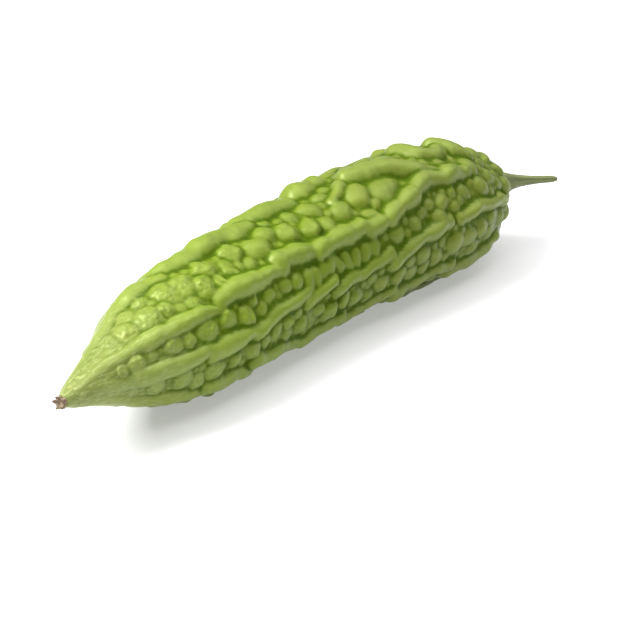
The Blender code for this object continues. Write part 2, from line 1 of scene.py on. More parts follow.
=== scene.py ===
"""Looks of the bitter melon: the warty fruit, its stalk, its dried flower and a pale studio."""

import math
import random

import bpy
import numpy as np
from bpy.props import FloatProperty, FloatVectorProperty, IntProperty, PointerProperty
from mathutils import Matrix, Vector, noise


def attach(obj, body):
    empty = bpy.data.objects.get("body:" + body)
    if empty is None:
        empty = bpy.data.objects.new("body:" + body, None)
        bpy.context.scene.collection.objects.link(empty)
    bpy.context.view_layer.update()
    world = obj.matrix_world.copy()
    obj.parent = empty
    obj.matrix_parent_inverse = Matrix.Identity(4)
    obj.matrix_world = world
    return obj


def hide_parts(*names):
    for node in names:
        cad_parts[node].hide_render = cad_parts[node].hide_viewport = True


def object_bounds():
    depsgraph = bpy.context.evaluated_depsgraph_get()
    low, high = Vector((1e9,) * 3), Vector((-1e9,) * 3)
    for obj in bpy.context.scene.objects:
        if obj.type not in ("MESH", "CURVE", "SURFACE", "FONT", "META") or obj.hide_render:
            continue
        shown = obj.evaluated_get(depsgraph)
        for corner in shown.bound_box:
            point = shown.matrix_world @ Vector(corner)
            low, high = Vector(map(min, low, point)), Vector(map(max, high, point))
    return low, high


bl_info = {
    "name": "Bitter Melon",
    "version": (1, 0, 0),
    "blender": (4, 5, 0),
    "location": "3D View > Sidebar > Melon",
    "description": "Builds a bitter melon with its warty skin, stalk and dried flower",
    "category": "Object",
}

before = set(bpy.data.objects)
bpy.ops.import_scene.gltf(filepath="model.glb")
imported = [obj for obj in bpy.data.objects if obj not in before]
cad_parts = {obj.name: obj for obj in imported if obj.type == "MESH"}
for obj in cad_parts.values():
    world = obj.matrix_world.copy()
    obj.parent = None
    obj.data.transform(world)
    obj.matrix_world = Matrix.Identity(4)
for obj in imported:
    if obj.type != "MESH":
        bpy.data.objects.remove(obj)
FRAME_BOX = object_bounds()

MM = 0.001
DOWN = math.pi

# The fruit's form. Places along it are shares of LENGTH from the blossom tip, and places
# round it are angles in degrees from straight up, positive towards -Y.
LENGTH = 240 * MM
SEAT_SHARE = 0.990
BEND = 10.7 * MM
GROUND_CUT = 0.6 * MM
BODY_RADIUS = (
    (0.000, 2.2 * MM), (0.020, 4.0 * MM), (0.060, 6.4 * MM), (0.120, 10.4 * MM),
    (0.200, 16.3 * MM), (0.300, 19.6 * MM), (0.420, 20.6 * MM), (0.550, 20.8 * MM),
    (0.680, 22.5 * MM), (0.800, 22.4 * MM), (0.880, 20.5 * MM), (0.935, 15.4 * MM),
    (0.965, 12.1 * MM), (0.982, 8.5 * MM), (SEAT_SHARE, 4.9 * MM),
)
TIP_HEIGHT = 27.2 * MM
SEAT_HEIGHT = 25.0 * MM
BELLY = (0.36, 0.48, 0.61, 0.74, 0.86)
TIP_LIFT = (0.18, 0.36)
# Middle of the whole melon seen from above, in the fruit's own axes: the frame's origin
MELON_MIDDLE = (10.04 * MM, 3.62 * MM)

# Swellings of the ridges on the shown side: places (share, degrees, half-width in mm)
SHOWN_RIDGES = (
    ((0.030, 36, 2.2), (0.070, 33, 2.9), (0.110, 38, 3.5), (0.160, 43, 4.1), (0.210, 45, 4.2),
     (0.245, 48, 3.7), (0.282, 52, 2.6)),
    ((0.285, 44, 4.6), (0.330, 43, 5.1), (0.385, 46, 4.5), (0.428, 46, 4.0)),
    ((0.428, 39, 5.2), (0.455, 40, 5.9), (0.485, 43, 5.1), (0.525, 45, 3.9)),
    ((0.507, 49, 4.5), (0.530, 49, 5.2), (0.575, 48, 5.4), (0.608, 48, 4.7)),
    ((0.620, 53, 5.2), (0.646, 52, 5.4)),
    ((0.668, 51, 4.9), (0.690, 49, 5.0)),
    ((0.707, 46, 4.7), (0.730, 42, 4.7)),
    ((0.746, 38, 4.7), (0.768, 34, 5.5), (0.800, 36, 5.0), (0.835, 35, 5.4), (0.865, 36, 4.3)),
    ((0.045, -38, 2.4), (0.110, -36, 3.6), (0.170, -34, 5.2), (0.225, -24, 5.2),
     (0.255, -13, 3.6)),
    ((0.248, -29, 5.0), (0.290, -19, 6.2), (0.340, -15, 6.4), (0.400, -14, 6.8),
     (0.450, -9, 4.6)),
    ((0.448, -23, 5.6), (0.500, -17, 6.4), (0.552, -12, 4.8)),
    ((0.594, -23, 7.4), (0.632, -23, 7.0)),
    ((0.600, 15, 3.2), (0.620, 9, 3.4), (0.640, 2, 3.8)),
    ((0.662, -3, 5.0), (0.700, 4, 6.2), (0.740, 13, 5.6), (0.775, 23, 4.4), (0.800, 27, 3.2)),
    ((0.798, -15, 6.6), (0.808, 2, 5.2), (0.835, 9, 4.8), (0.852, 6, 5.2)),
    ((0.868, -10, 6.6), (0.882, 6, 5.4), (0.902, 18, 3.6)),
    ((0.045, 80, 2.4), (0.100, 90, 3.8), (0.150, 88, 4.6), (0.195, 85, 4.8), (0.240, 81, 3.0)),
    ((0.238, 89, 4.4), (0.280, 86, 4.8), (0.325, 82, 3.4)),
    ((0.810, 76, 3.8), (0.853, 71, 4.2), (0.900, 74, 3.8), (0.945, 79, 3.0)),
    ((0.050, 134, 3.0), (0.120, 143, 4.6), (0.185, 137, 5.2), (0.245, 135, 4.0)),
    ((0.245, 126, 4.8), (0.290, 127, 5.2), (0.335, 130, 4.2)),
)
# The other ridges (degrees, first and last share) are drawn as chains of swellings
RESTING_RIDGES = (162, 198)
WANDERING_RIDGES = (
    (82, 0.335, 0.785), (124, 0.340, 0.955), (RESTING_RIDGES[0], 0.040, 0.955),
    (RESTING_RIDGES[1], 0.040, 0.955), (238, 0.040, 0.955), (276, 0.040, 0.955),
    (313, 0.040, 0.955),
)
RIDGE_HALF_WIDTH = 4.2 * MM
RIDGE_HEIGHT = 5.3 * MM
RIDGE_ROUNDNESS = 0.60
RIDGE_TAPER = (1.12, 0.86)
# Waves along each ridge: in its width, sideways and in its height
RIDGE_THROB = 0.22
RIDGE_SWAY = 0.9 * MM
RIDGE_SWELL = 0.20
THROB_LENGTH = 8.5 * MM
RIDGE_LEAN = 2.0 * MM
RIDGE_STRETCH = (14 * MM, 34 * MM)
RIDGE_GAP = 0.5 * MM
RIDGE_STEP = 1.6 * MM
WANDER_ANGLE = 3.0
WANDER_LENGTH = 14 * MM

# Warts that stand out on the shown side: places (share, degrees, radius in mm)
SHOWN_WARTS = (
    (0.065, 67, 1.9), (0.092, 62, 2.6), (0.118, 63, 3.4), (0.145, 62, 2.0), (0.177, 63, 3.4),
    (0.205, 64, 2.9), (0.240, 64, 4.3), (0.283, 62, 3.7), (0.318, 68, 3.7), (0.340, 57, 2.8),
    (0.375, 61, 2.9), (0.415, 60, 3.0), (0.113, -5, 3.2), (0.138, 8, 3.7), (0.175, 16, 4.5),
    (0.203, 22, 3.0), (0.228, 4, 4.6), (0.257, 13, 4.8), (0.242, 34, 2.9), (0.278, 27, 4.4),
    (0.310, 9, 4.9), (0.308, 30, 3.0), (0.342, 27, 3.0), (0.375, 9, 4.0), (0.345, 18, 2.9),
    (0.383, 29, 3.0), (0.417, 19, 5.0), (0.485, 20, 4.4), (0.525, 28, 4.1), (0.557, 33, 3.8),
    (0.557, 7, 4.3), (0.600, 27, 4.3), (0.615, 36, 2.5), (0.637, 43, 3.4), (0.647, 19, 5.3),
    (0.693, 28, 5.8), (0.685, 39, 3.2), (0.733, 32, 2.5), (0.713, 67, 3.3), (0.765, 71, 3.9),
    (0.733, 59, 2.7), (0.780, 57, 3.0), (0.805, 65, 2.5), (0.880, 32, 3.8), (0.935, 58, 2.9),
    (0.963, 37, 2.9), (0.145, 110, 3.4), (0.188, 106, 3.9), (0.247, 107, 4.2), (0.288, 104, 3.3),
)
# A row of warts pressed side by side like ribs: first and last share, degrees
RIB_ROW = (0.465, 0.635, 67)
RIB_STEP = 4.9 * MM
RIB_RADIUS = 2.6 * MM
RIB_REACH = 1.7 * MM
# Rounds of warts that fill what is left, largest first: smallest and largest radius, and how
# many places are tried
WART_ROUNDS = (
    (2.7 * MM, 4.2 * MM, 1500),
    (1.9 * MM, 2.9 * MM, 3000),
    (1.2 * MM, 2.0 * MM, 5000),
)
WART_NUDGE = 1.2 * MM
RIDGE_FOOT = 0.64
WART_OVERLAP = 1.40
WART_STRETCH = 0.22
WART_FOOT_HEIGHT = 1.7 * MM
WART_STEEPNESS = 0.66
TALLEST_WART = 4.6 * MM
NUB_WART = 2.7 * MM
NUB_CHANCE = 0.55
NUB_SHARE = 0.62
NUB_HEIGHT = 0.55 * MM
VALLEY_FLOOR = 2.3 * MM
UNDERSIDE_WART_PRESS = 0.40
UNDERSIDE_HALF_ANGLE = 14
LUMP_WIDTH_SCALE = ((0.0, 0.35), (0.06, 0.56), (0.12, 0.80), (0.20, 0.94), (0.30, 1.0),
                    (0.88, 1.0), (0.96, 0.86), (1.0, 0.75))
LUMP_HEIGHT_SCALE = ((0.0, 0.0), (0.03, 0.12), (0.08, 0.33), (0.12, 0.50), (0.20, 0.77),
                     (0.30, 0.97), (0.38, 1.0), (0.92, 1.0), (0.965, 0.85), (0.980, 0.45),
                     (0.987, 0.05), (SEAT_SHARE, 0.0))
CREASE_SHARPNESS = 7
# How a wart and a ridge fall off from their tops: lower is blunter
WART_BLUNTNESS = 0.55
RIDGE_BLUNTNESS = 0.72
# Waves that bend the outlines of ridges and warts: amount and wave length
OUTLINE_WAVES = ((1.1 * MM, 8.0 * MM), (0.35 * MM, 2.6 * MM))
# How far apart the waves of one place are taken, in wave lengths
WAVE_OFFSET = (31.37, 17.21, 5.73)
WART_SEED = 27

# Stalk: a flared, ribbed stem; its radii run from the fruit to the cut end
STALK_LENGTH = 29 * MM
STALK_HEADING_LENGTH = 8.0 * MM
STALK_DIRECTION = (0.883, -0.442, -0.075)
STALK_RADII = ((0.0, 3.4 * MM), (0.08, 3.7 * MM), (0.20, 4.6 * MM), (0.28, 4.6 * MM),
               (0.36, 4.0 * MM), (0.46, 3.0 * MM), (0.60, 2.1 * MM), (0.80, 1.5 * MM),
               (0.96, 1.2 * MM), (1.0, 0.8 * MM))
STALK_RIBS = 5
STALK_RIB_DEPTH = 0.09
STALK_TWIST = 1.5
STALK_KNOBBLE = 0.07

# Dried flower: a crumpled stub with short prongs
FLOWER_LENGTH = 2.0 * MM
FLOWER_WIDTHS = ((0.0, 1.8 * MM), (0.3, 1.7 * MM), (0.7, 2.0 * MM), (1.0, 1.9 * MM))
FLOWER_RISE = 0.25
FLOWER_FOLD = 0.22
FLOWER_CRUMPLE = 0.30
FLOWER_PRONGS = (0.45, 1.0, 0.5, 0.9, 0.35)
FLOWER_PRONG_LENGTH = 2.2 * MM
FLOWER_RIM = ((0.5, 1.06), (1.0, 0.98), (0.75, 0.80), (0.2, 0.62))
FLOWER_HOLLOW = (0.6 * MM, 0.3)

# The camera looks at a point given in the fruit's own axes
CAMERA_AZIMUTH = -50.71
CAMERA_ELEVATION = 26.0
CAMERA_DISTANCE = 0.900
CAMERA_LENS = 140.36
CAMERA_TARGET = (6.3 * MM, -9.4 * MM, 10.0 * MM)


def smooth_curve(knots):
    """Returns a function that runs smoothly through the knots and never overshoots them."""
    at, value = (np.array(column, float) for column in zip(*knots))
    step = np.diff(at)
    rise = np.diff(value) / step
    slope = np.zeros(len(at))
    slope[0], slope[-1] = rise[0], rise[-1]
    for i in range(1, len(at) - 1):
        if rise[i - 1] * rise[i] > 0:
            before, after = 2 * step[i] + step[i - 1], step[i] + 2 * step[i - 1]
            slope[i] = (before + after) / (before / rise[i - 1] + after / rise[i])

    def curve(x):
        x = np.clip(np.asarray(x, float), at[0], at[-1])
        i = np.clip(np.searchsorted(at, x) - 1, 0, len(step) - 1)
        h = step[i]
        t = (x - at[i]) / h
        return ((2 * t**3 - 3 * t**2 + 1) * value[i] + (t**3 - 2 * t**2 + t) * h * slope[i]
                + (3 * t**2 - 2 * t**3) * value[i + 1] + (t**3 - t**2) * h * slope[i + 1])

    return curve


def waves(places, parts):
    """Smooth waves between -1 and 1: that many unlike numbers for each place."""
    offsets = [part * Vector(WAVE_OFFSET) for part in range(parts)]
    return np.array([[noise.noise(Vector(place) + offset) for offset in offsets]
                     for place in places])


body_radius = smooth_curve(BODY_RADIUS)
lump_width_scale = smooth_curve(LUMP_WIDTH_SCALE)
lump_height_scale = smooth_curve(LUMP_HEIGHT_SCALE)


def resting_height(share):
    """Height of the centreline where the two lowest ridges touch the ground."""
    ridge_angle = math.radians(RESTING_RIDGES[1] - RESTING_RIDGES[0]) / 2
    return float(body_radius(share) + RIDGE_HEIGHT) * math.cos(ridge_angle) - GROUND_CUT


def height_knots():
    """The centreline's height: risen at the tip, and level along the belly."""
    at, part = TIP_LIFT
    low = resting_height(BELLY[0])
    knots = [(0.0, TIP_HEIGHT), (at, low + part * (TIP_HEIGHT - low))]
    return knots + [(share, resting_height(share)) for share in BELLY] + [(SEAT_SHARE, SEAT_HEIGHT)]


centre_height = smooth_curve(height_knots())


def centreline(share):
    """Points on the fruit's centreline, which is bent sideways."""
    share = np.asarray(share, float)
    x = (share - 0.5) * LENGTH - MELON_MIDDLE[0]
    y = BEND * (0.5 - (2 * share - 1) ** 2) - MELON_MIDDLE[1]
    return np.stack([x, y, centre_height(share)], -1)


class Body:
    """The fruit without its relief, as rings at even steps along its outline."""

    def __init__(self, rings, ring_points):
        fine = np.linspace(0, SEAT_SHARE, 4001)
        run = np.hypot(np.diff(fine) * LENGTH, np.diff(body_radius(fine)))
        run = np.concatenate([[0], np.cumsum(run)])
        self.fine_share, self.fine_run = fine, run
        self.run = np.linspace(0, run[-1], rings)
        self.share = np.interp(self.run, run, fine)
        self.angle = np.arange(ring_points) * 2 * math.pi / ring_points
        self.radius = body_radius(self.share)
        self.chart_radius = self.chart_radius_at(self.share)
        shift = self.outline_shift()
        self.net_run = self.run[:, None] + shift[..., 0]
        self.net_angle = self.angle[None, :] + shift[..., 1] / self.chart_radius[:, None]

    def outline_shift(self):
        """How far the outlines of the relief are bent along and round the fruit."""
        across = self.chart_radius[:, None] * np.cos(self.angle)
        up = self.chart_radius[:, None] * np.sin(self.angle)
        along = np.broadcast_to(self.run[:, None], across.shape)
        places = np.stack([along, across, up], -1).reshape(-1, 3)
        shift = np.zeros((len(places), 2))
        for amount, length in OUTLINE_WAVES:
            shift += amount * waves(places / length, 2)
        scale = lump_height_scale(self.share)[:, None, None]
        return shift.reshape(*across.shape, 2) * scale

    def run_at(self, share):
        """Distance along the outline from the blossom tip."""
        return np.interp(share, self.fine_share, self.fine_run)

    def share_at(self, run):
        return np.interp(run, self.fine_run, self.fine_share)

    def chart_radius_at(self, share):
        """Radius halfway up the relief, where widths round the fruit are measured."""
        return body_radius(share) + RIDGE_HEIGHT / 2 * lump_height_scale(share)

    def axes(self, share):
        """Directions along, sideways and upwards of the centreline."""
        small = 1e-4
        along = centreline(share + small) - centreline(share - small)
        along /= np.linalg.norm(along, axis=-1, keepdims=True)
        side = np.cross([0, 0, 1], along)
        side /= np.linalg.norm(side, axis=-1, keepdims=True)
        return along, side, np.cross(along, side)

    def points(self, relief):
        """Ring points, raised from the body by the relief along the body's own normals."""
        small = 1e-4
        slope = (body_radius(self.share + small) - body_radius(self.share - small))
        slope = np.arctan2(slope, 2 * small * LENGTH)[:, None, None]
        along, side, up = (axis[:, None, :] for axis in self.axes(self.share))
        turn = self.angle[None, :, None]
        outward = np.cos(turn) * up - np.sin(turn) * side
        normal = np.cos(slope) * outward - np.sin(slope) * along
        return (centreline(self.share)[:, None, :] + self.radius[:, None, None] * outward
                + relief[:, :, None] * normal)


def wrap(angle):
    """The same angle between minus and plus half a turn."""
    return (angle + math.pi) % (2 * math.pi) - math.pi


class Lump:
    """A rounded swelling about a line of points (run, angle), each with a half-width and height."""

    def __init__(self, line, half_widths, heights, bluntness=WART_BLUNTNESS):
        self.line = np.array(line, float)
        self.bluntness = bluntness
        self.half_widths = np.broadcast_to(half_widths, len(line))
        self.heights = np.broadcast_to(heights, len(line))

    def raised(self, body):
        """The part of the body's net this lump reaches, and its height there."""
        reach = self.half_widths.max() + sum(amount for amount, length in OUTLINE_WAVES)
        near = (body.run > self.line[:, 0].min() - reach) & (body.run < self.line[:, 0].max() + reach)
        rows = np.flatnonzero(near)
        turn = reach / body.chart_radius[rows].min()
        middle = (self.line[:, 1].min() + self.line[:, 1].max()) / 2
        half_span = min(self.line[:, 1].max() - middle + turn, math.pi)
        columns = np.flatnonzero(np.abs(wrap(body.angle - middle)) <= half_span)
        place = np.ix_(rows, columns)
        run, radius = body.net_run[place], body.chart_radius[rows][:, None]
        angle = middle + wrap(body.net_angle[place] - middle)
        best = np.zeros(run.shape)
        for i in range(len(self.line) - 1):
            (run_a, angle_a), (run_b, angle_b) = self.line[i], self.line[i + 1]
            along, across = run_b - run_a, (angle_b - angle_a) * radius
            to_run, to_across = run - run_a, (angle - angle_a) * radius
            t = (to_run * along + to_across * across) / (along**2 + across**2 + 1e-18)
            t = np.clip(t, 0, 1)
            distance = np.hypot(to_run - t * along, to_across - t * across)
            width = self.half_widths[i] + t * (self.half_widths[i + 1] - self.half_widths[i])
            height = self.heights[i] + t * (self.heights[i + 1] - self.heights[i])
            best = np.maximum(best, height * dome(distance / width, self.bluntness))
        return place, best


def dome(distance, bluntness):
    """Height of a dome of radius and height one at a distance from its middle."""
    return np.clip(1 - distance**2, 0, 1) ** bluntness


def spline(points, body):
    """Points (run, angle, half-width) on a smooth curve through (share, degrees, half-width)."""
    knots = [(body.run_at(share), math.radians(angle), width) for share, angle, width in points]
    knots = np.array([knots[0]] + knots + [knots[-1]])
    line = []
    for p0, p1, p2, p3 in zip(knots, knots[1:], knots[2:], knots[3:]):
        radius = body.chart_radius_at(body.share_at(p1[0]))
        count = max(1, round(math.hypot(p2[0] - p1[0], (p2[1] - p1[1]) * radius) / RIDGE_STEP))
        for t in np.arange(count) / count:
            line.append(0.5 * (2 * p1 + (p2 - p0) * t + (2 * p0 - 5 * p1 + 4 * p2 - p3) * t**2
                               + (3 * p1 - p0 - 3 * p2 + p3) * t**3))
    return np.array(line + [knots[-1]])


def wandering_ridge(degrees, first, last, body, rng):
    """A ridge as swellings that lean past each other, each blunt at its tip-side end."""
    at, end = body.run_at(first), body.run_at(last)
    phase = rng.uniform(0, 2 * math.pi)
    pieces = []
    while at < end - RIDGE_GAP:
        stop = min(at + rng.uniform(*RIDGE_STRETCH), end)
        lean = RIDGE_LEAN * rng.choice((-1, 1))
        width = RIDGE_HALF_WIDTH * rng.uniform(0.90, 1.10)
        points = []
        for t in (0, 0.5, 1):
            run = at + t * (stop - at)
            share = float(body.share_at(run))
            sway = WANDER_ANGLE * math.sin(run / WANDER_LENGTH + phase)
            sway += math.degrees(lean * (1 - 2 * t) / body.chart_radius_at(share))
            taper = RIDGE_TAPER[0] + t * (RIDGE_TAPER[1] - RIDGE_TAPER[0])
            points.append((share, degrees + sway, width * taper * float(lump_width_scale(share))))
        pieces.append(points)
        at = stop + RIDGE_GAP * float(lump_width_scale(points[-1][0]))
    return pieces


def ridge_lumps(body, rng):
    """All swellings of all ridges."""
    pieces = [[(share, angle, width * MM) for share, angle, width in points]
              for points in SHOWN_RIDGES]
    for ridge in WANDERING_RIDGES:
        pieces += wandering_ridge(*ridge, body, rng)
    lumps = []
    for points in pieces:
        run, angle, width = spline(points, body).T
        share, phase = body.share_at(run), rng.uniform(0, 99)
        throb, sway, swell = waves([(place / THROB_LENGTH, phase, 0) for place in run], 3).T
        width = width * (1 + RIDGE_THROB * throb)
        angle = angle + RIDGE_SWAY * sway * lump_width_scale(share) / body.chart_radius_at(share)
        height = RIDGE_HEIGHT * (1 + RIDGE_SWELL * swell) * (width / RIDGE_HALF_WIDTH) ** RIDGE_ROUNDNESS
        height = height * lump_height_scale(share)
        lumps.append(Lump(np.stack([run, angle], -1), width, height, RIDGE_BLUNTNESS))
    return lumps


class Valleys:
    """What is left between the ridges and warts for further warts."""

    def __init__(self, body, ridges):
        self.body = body
        self.line = np.concatenate([lump.line for lump in ridges])
        self.kept = RIDGE_FOOT * np.concatenate([lump.half_widths for lump in ridges])

    def fill(self, places, radii):
        """Marks circles (run, angle) as taken."""
        self.line = np.vstack([self.line, places])
        self.kept = np.append(self.kept, radii)

    def room(self, places):
        """Radius of the largest wart that fits at each place (run, angle)."""
        around = self.body.chart_radius_at(self.body.share_at(places[:, 0]))[:, None]
        along = self.line[None, :, 0] - places[:, 0, None]
        across = wrap(self.line[None, :, 1] - places[:, 1, None]) * around
        return (np.hypot(along, across) - self.kept).min(1)


def wart(run, angle, radius, body, rng):
    """A wart at a place, and the nubs that crowd on it if it is large."""
    share = float(body.share_at(run))
    around = float(body.chart_radius_at(share))
    scale = float(lump_height_scale(share))
    full_radius = radius / float(lump_width_scale(share))
    height = min(WART_FOOT_HEIGHT + WART_STEEPNESS * full_radius, TALLEST_WART)
    height *= rng.uniform(0.90, 1.06) * scale
    off_bottom = math.degrees(abs(wrap(angle - DOWN))) / UNDERSIDE_HALF_ANGLE
    height *= 1 - UNDERSIDE_WART_PRESS * math.exp(-off_bottom**2)
    turn, reach = rng.uniform(0, math.pi), rng.uniform(0, WART_STRETCH) * radius
    along, across = math.cos(turn) * reach, math.sin(turn) * reach / around
    line = [(run - along, angle - across), (run + along, angle + across)]
    half_width = radius * WART_OVERLAP - reach / 2
    lumps = [Lump(line, half_width, height)]
    if full_radius > NUB_WART and share < NUB_SHARE and rng.random() < NUB_CHANCE:
        for _ in range(rng.randint(3, 5)):
            turn, away = rng.uniform(0, 2 * math.pi), rng.uniform(0.30, 0.70) * radius
            place = (run + math.cos(turn) * away, angle + math.sin(turn) * away / around)
            under = height * float(dome(away / half_width, WART_BLUNTNESS))
            lift = NUB_HEIGHT * rng.uniform(0.6, 1.2) * scale
            nub_width = radius * rng.uniform(0.50, 0.75)
            lumps.append(Lump([place, place], nub_width, under + lift))
    return lumps


def rib_lumps(body, valleys, rng):
    """The row of warts pressed side by side between two ridges."""
    lumps = []
    first, last, degrees = RIB_ROW
    run = body.run_at(first)
    while run < body.run_at(last):
        angle = math.radians(degrees + rng.uniform(-4, 4))
        around = float(body.chart_radius_at(body.share_at(run)))
        reach, lean = RIB_REACH * rng.uniform(0.6, 1.3) / around, rng.uniform(-0.8, 0.8) * MM
        line = [(run - lean, angle - reach), (run + lean, angle + reach)]
        radius = RIB_RADIUS * rng.uniform(0.82, 1.15)
        height = WART_FOOT_HEIGHT + WART_STEEPNESS * radius * rng.uniform(0.95, 1.25)
        lumps.append(Lump(line, radius * WART_OVERLAP, height))
        valleys.fill(line, [radius, radius])
        run += RIB_STEP * rng.uniform(0.80, 1.15)
    return lumps


def wart_lumps(body, ridges, rng, rounds):
    """Fills the valleys between the ridges with warts that press together, largest first."""
    valleys = Valleys(body, ridges)
    lumps = rib_lumps(body, valleys, rng)
    for share, degrees, radius in SHOWN_WARTS:
        run, angle = float(body.run_at(share)), math.radians(degrees)
        lumps += wart(run, angle, radius * MM, body, rng)
        valleys.fill([(run, angle)], [radius * MM])
    area = np.cumsum(body.chart_radius)
    area /= area[-1]
    for smallest, largest, tries in rounds:
        for _ in range(tries):
            run = float(np.interp(rng.random(), area, body.run))
            angle = rng.uniform(-math.pi, math.pi)
            share = float(body.share_at(run))
            scale, around = float(lump_width_scale(share)), float(body.chart_radius_at(share))
            nudges = [(rng.uniform(-1, 1) * WART_NUDGE, rng.uniform(-1, 1) * WART_NUDGE / around)
                      for _ in range(7)]
            places = np.array([(run, angle)]) + np.array([(0, 0)] + nudges)
            rooms = valleys.room(places)
            best = int(rooms.argmax())
            if rooms[best] < smallest * scale:
                continue
            radius = min(rooms[best], largest * scale * rng.uniform(0.75, 1))
            run, angle = (float(part) for part in places[best])
            lumps += wart(run, angle, radius, body, rng)
            valleys.fill([(run, angle)], [radius])
    return lumps


def tube_mesh(name, rings):
    """A closed mesh over rings of points that run along it, with a flat fan on both ends."""
    rings = np.asarray(rings, float)
    count, size = rings.shape[:2]
    ends = np.stack([rings[0].mean(0), rings[-1].mean(0)])
    points = np.concatenate([rings.reshape(-1, 3), ends])
    row = np.arange(count - 1)[:, None] * size
    column = np.arange(size)[None, :]
    beside = (column + 1) % size
    sides = np.stack([row + column, row + beside, row + size + beside, row + size + column], -1)
    faces = [tuple(face) for face in sides.reshape(-1, 4)]
    last = (count - 1) * size
    for j in range(size):
        k = (j + 1) % size
        faces += [(k, j, count * size), (last + j, last + k, count * size + 1)]
    mesh = bpy.data.meshes.new(name)
    mesh.from_pydata(points.tolist(), [], faces)
    mesh.update()
    if outward_volume(mesh) < 0:
        mesh.flip_normals()
    mesh.shade_smooth()
    return mesh


def outward_volume(mesh):
    """Six times the volume, positive where the faces point outwards."""
    mesh.calc_loop_triangles()
    points = np.empty(len(mesh.vertices) * 3)
    mesh.vertices.foreach_get("co", points)
    corners = np.empty(len(mesh.loop_triangles) * 3, int)
    mesh.loop_triangles.foreach_get("vertices", corners)
    a, b, c = points.reshape(-1, 3)[corners.reshape(-1, 3)].transpose(1, 0, 2)
    return float(np.sum(a * np.cross(b, c)))


def end_frame(share):
    """Point and outward direction of the centreline at one end of the fruit."""
    along = Vector(Body(3, 3).axes(np.array(share))[0])
    if share < 0.5:
        along.negate()
    return Vector(centreline(share)), along


def bent_line(start, bend, end, steps):
    """Points on a curve that leaves the start towards the bend and comes to the end."""
    line = []
    for i in range(steps + 1):
        t = i / steps
        line.append(start * (1 - t) ** 2 + bend * 2 * t * (1 - t) + end * t**2)
    return line


def rings_along(line, radius, around, shape):
    """Rings of points about a line; shape(t, angle) scales the radius at each point."""
    rings = []
    count = len(line)
    for i, place in enumerate(line):
        ahead = line[min(i + 1, count - 1)] - line[max(i - 1, 0)]
        side = ahead.cross(Vector((0, 0, 1))).normalized()
        up = side.cross(ahead).normalized()
        t = i / (count - 1)
        ring = []
        for j in range(around):
            angle = 2 * math.pi * j / around
            reach = float(radius(t)) * shape(t, angle)
            ring.append(place + (side * math.cos(angle) + up * math.sin(angle)) * reach)
        rings.append(ring)
    return rings


def stalk_rib(t, angle):
    return math.cos(STALK_RIBS * angle + STALK_TWIST * t)


def stalk_rings(length, gap, steps, around):
    """The stalk's rings, from a gap before the fruit to its cut end."""
    foot, heading = end_frame(SEAT_SHARE)
    bend = foot + heading * STALK_HEADING_LENGTH
    end = foot + Vector(STALK_DIRECTION).normalized() * length

    def ribbed(t, angle):
        knobble = noise.noise(Vector((math.cos(angle) * 1.6, math.sin(angle) * 1.6, 9 * t)))
        return 1 + STALK_RIB_DEPTH * stalk_rib(t, angle) * min(1, 6 * t) + STALK_KNOBBLE * knobble

    line = bent_line(foot + heading * gap, bend, end, steps)
    return rings_along(line, smooth_curve(STALK_RADII), around, ribbed)


def flower_rings(length, gap, steps, around):
    """The dried flower's rings: a crumpled stub, its pronged rim and a shallow hollow."""
    foot, heading = end_frame(0.0)
    aim = (heading + Vector((0, 0, FLOWER_RISE))).normalized()
    bend = foot + heading * length / 2
    line = bent_line(foot + heading * gap, bend, bend + aim * length / 2, steps)
    prongs = len(FLOWER_PRONGS)

    def crumpled(t, angle):
        place = Vector((math.cos(angle) * 2.2, math.sin(angle) * 2.2, 3 * t + 5))
        crumple = FLOWER_CRUMPLE * noise.noise(place) * min(1, 3 * t)
        return 1 + FLOWER_FOLD * t * math.cos(prongs * angle) + crumple

    rings = rings_along(line, smooth_curve(FLOWER_WIDTHS), around, crumpled)
    rim = rings[-1]
    centre = sum(rim, Vector()) / around
    for lift, pull in FLOWER_RIM:
        ring = []
        for j, point in enumerate(rim):
            turn = j / around * prongs
            prong = FLOWER_PRONGS[round(turn) % prongs] * max(0, math.cos(2 * math.pi * turn)) ** 1.5
            ring.append(centre + (point - centre) * pull + aim * FLOWER_PRONG_LENGTH * prong * lift)
        rings.append(ring)
    depth, pull = FLOWER_HOLLOW
    rings.append([centre + (point - centre) * pull - aim * depth for point in rim])
    return rings


def relief_on(body, lumps):
    """Height of the relief at each point of the net, a tone that differs from lump to lump, and
    how far the point is on a wart rather than on a ridge."""
    scale = lump_height_scale(body.share)[:, None]
    total = np.zeros((len(body.run), len(body.angle))) + (VALLEY_FLOOR / MM * scale) ** CREASE_SHARPNESS
    tones, warty = total / 2, np.zeros_like(total)
    for lump in lumps:
        place, height = lump.raised(body)
        powered = (height / MM) ** CREASE_SHARPNESS
        run, angle = lump.line[0]
        total[place] += powered
        tones[place] += powered * noise.cell(Vector((run / MM, angle * 20, 0)))
        if lump.bluntness == WART_BLUNTNESS:
            warty[place] += powered
    whole = np.maximum(total, 1e-6)
    return total ** (1 / CREASE_SHARPNESS) * MM, tones / whole, warty / whole


def blurred(field, rows, columns):
    """The field averaged over a window of the net that wraps round the fruit."""
    for axis, reach in ((0, rows), (1, columns)):
        total = np.zeros_like(field)
        for shift in range(-reach, reach + 1):
            if axis == 1:
                total += np.roll(field, shift, 1)
            else:
                index = np.clip(np.arange(len(field)) + shift, 0, len(field) - 1)
                total += field[index]
        field = total / (2 * reach + 1)
    return field


def paint(mesh, name, values):
    """Stores one value a point under that name, for the material to read."""
    attribute = mesh.attributes.new(name, "FLOAT", "POINT")
    attribute.data.foreach_set("value", np.asarray(values, np.float32).ravel())


